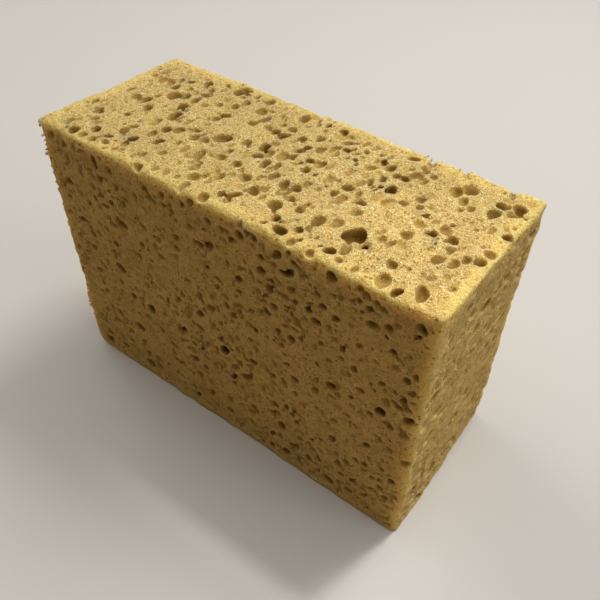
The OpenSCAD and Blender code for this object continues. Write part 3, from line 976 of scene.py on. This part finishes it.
def foam_material(name):
    """Golden cellulose foam, which light soaks into by a few millimetres."""
    material = bpy.data.materials.new(name)
    material.use_nodes = True
    tree = material.node_tree
    skin = tree.nodes["Principled BSDF"]
    place = node(tree, "ShaderNodeTexCoord").outputs["Object"]
    fine = node(tree, "ShaderNodeGroup", {"node_tree": grain}, Cells_per_metre=FINE_GRAIN)
    coarse = node(tree, "ShaderNodeGroup", {"node_tree": grain}, Cells_per_metre=COARSE_GRAIN)
    sparse = ramp_between(tree, coarse.outputs["Pits"], *SPARSE_PITS)
    in_bowl = ramp_between(tree, measure(tree, "pore_depth"), *IN_BOWL)
    on_face = less(tree, 1.0, times(tree, in_bowl, FACE_ONLY))
    tree.links.new(foam_color(tree, place, fine, coarse, sparse, in_bowl, on_face), skin.inputs["Base Color"])
    tree.links.new(foam_bump(tree, place, fine, sparse, on_face), skin.inputs["Normal"])
    for socket, value in FOAM_SOCKETS.items():
        skin.inputs[socket].default_value = value
    print("foam nodes:", len(tree.nodes))
    return material


sponge.data.materials.clear()
sponge.data.materials.append(foam_material("cellulose_foam"))
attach(sponge, "root")
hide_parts("sponge_block")

# %% [markdown]
# ## The floor
# The floor is a round sweep: flat under the block, and turned up all round far
# behind it, so that no horizon shows from any side. The camera sees it pale,
# and it throws back a warmer, darker light, as a furnished room does. Nothing
# here is metal or glass, so only camera rays have to see it pale.

# %% Sweep
SWEEP_HOLE, SWEEP_FLAT, SWEEP_BEND, SWEEP_WALL = 0.5, 2400.0, 700.0, 900.0
SWEEP_TURNS, SWEEP_STEPS = 96, 14
FLOOR_COLOR = (0.66, 0.64, 0.605, 1)
FLOOR_BOUNCE = (0.56, 0.43, 0.29, 1)


def sweep_profile():
    """Radius and height along the sweep: level to the bend, a quarter circle, then straight up."""
    turn = np.linspace(0, math.pi / 2, SWEEP_STEPS)
    flat = [SWEEP_HOLE, SWEEP_FLAT / 3]
    radius = np.concatenate([flat, SWEEP_FLAT + SWEEP_BEND * np.sin(turn), [SWEEP_FLAT + SWEEP_BEND]])
    height = np.concatenate([[0, 0], SWEEP_BEND * (1 - np.cos(turn)), [SWEEP_BEND + SWEEP_WALL]])
    return radius, height


radius, height = sweep_profile()
turn = np.arange(SWEEP_TURNS) * 2 * math.pi / SWEEP_TURNS
across, along = np.outer(radius, np.cos(turn)), np.outer(radius, np.sin(turn))
ring = np.stack([across, along, np.repeat(height[:, None], SWEEP_TURNS, 1)], -1)
i, j = np.meshgrid(np.arange(len(radius) - 1) * SWEEP_TURNS, np.arange(SWEEP_TURNS), indexing="ij")
after = (j + 1) % SWEEP_TURNS
quads = np.stack([i + j, i + SWEEP_TURNS + j, i + SWEEP_TURNS + after, i + after], -1)
floor = mesh_from("floor_sweep", ring.reshape(-1, 3), quads.reshape(-1, 4))
floor.data.shade_smooth()
paint = bpy.data.materials.new("pale_floor")
paint.use_nodes = True
finish = paint.node_tree.nodes["Principled BSDF"]
seen = node(paint.node_tree, "ShaderNodeLightPath").outputs["Is Camera Ray"]
shown = mix_color(paint.node_tree, seen, FLOOR_BOUNCE, FLOOR_COLOR)
paint.node_tree.links.new(shown, finish.inputs["Base Color"])
finish.inputs["Roughness"].default_value = 0.9
floor.data.materials.append(paint)

# %% [markdown]
# ## Lamps
# A wide soft lamp above lights the top evenly, and a smaller one above and
# behind rakes it, so that every bowl has a shaded side. A cooler one lights
# the right-hand end as a window would, and one on the left keeps the back and
# left from going dark. The front has no lamp and lives on what the floor and
# the room throw back. A small soft spot lifts the right-hand end of the top,
# which is nearest the light.

# %% Lamps
WARM_WHITE = (1.0, 0.97, 0.93)
COOL_WHITE = (0.85, 0.94, 1.0)
ROOM_COLOR, ROOM_STRENGTH = (1.0, 0.84, 0.64, 1), 0.05
BLOCK_MIDDLE = (0, 0, 0.06)
TOP_END = (0.068, -0.022, 0.12)
SPOT_CONE, SPOT_WIDTH = 8.8, 0.04
SOFT_LAMPS = {
    # degrees round and up, distance, width, depth, watts and colour
    "overhead_lamp": (180, 80, 1.05, 1.8, 1.7, 8.2, WARM_WHITE),
    "key_lamp": (164, 57, 1.2, 0.4, 0.4, 7.0, WARM_WHITE),
    "right_lamp": (97, 38, 1.2, 0.6, 0.6, 2.15, COOL_WHITE),
    "left_lamp": (262, 45, 1.2, 0.6, 0.6, 2.7, WARM_WHITE),
}


def lamp_facing(name, kind, azimuth, elevation, distance, aim, watts, color):
    """A lamp that faces a point of the block from the given side, height and distance."""
    lamp = bpy.data.objects.new(name, bpy.data.lights.new(name, kind))
    bpy.context.scene.collection.objects.link(lamp)
    away = direction(math.radians(azimuth), math.radians(elevation))
    lamp.data.energy, lamp.data.color = watts, color
    lamp.location = away * distance + Vector(aim)
    lamp.rotation_mode = "QUATERNION"
    lamp.rotation_quaternion = (-away).to_track_quat("-Z", "Y")
    return lamp


for name, (azimuth, elevation, distance, width, depth, watts, color) in SOFT_LAMPS.items():
    lamp = lamp_facing(name, "AREA", azimuth, elevation, distance, BLOCK_MIDDLE, watts, color)
    lamp.data.shape = "RECTANGLE"
    lamp.data.size, lamp.data.size_y = width, depth
spot = lamp_facing("end_spot", "SPOT", 165, 70, 1.0, TOP_END, 15, WARM_WHITE)
spot.data.spot_size, spot.data.spot_blend = math.radians(SPOT_CONE), 1.0
spot.data.shadow_soft_size = SPOT_WIDTH
world = bpy.data.worlds.new("room")
bpy.context.scene.world = world
world.use_nodes = True
world.node_tree.nodes["Background"].inputs["Color"].default_value = ROOM_COLOR
world.node_tree.nodes["Background"].inputs["Strength"].default_value = ROOM_STRENGTH
print("lamps:", [lamp.name for lamp in bpy.data.lights])
bpy.context.scene.view_settings.view_transform = "Standard"
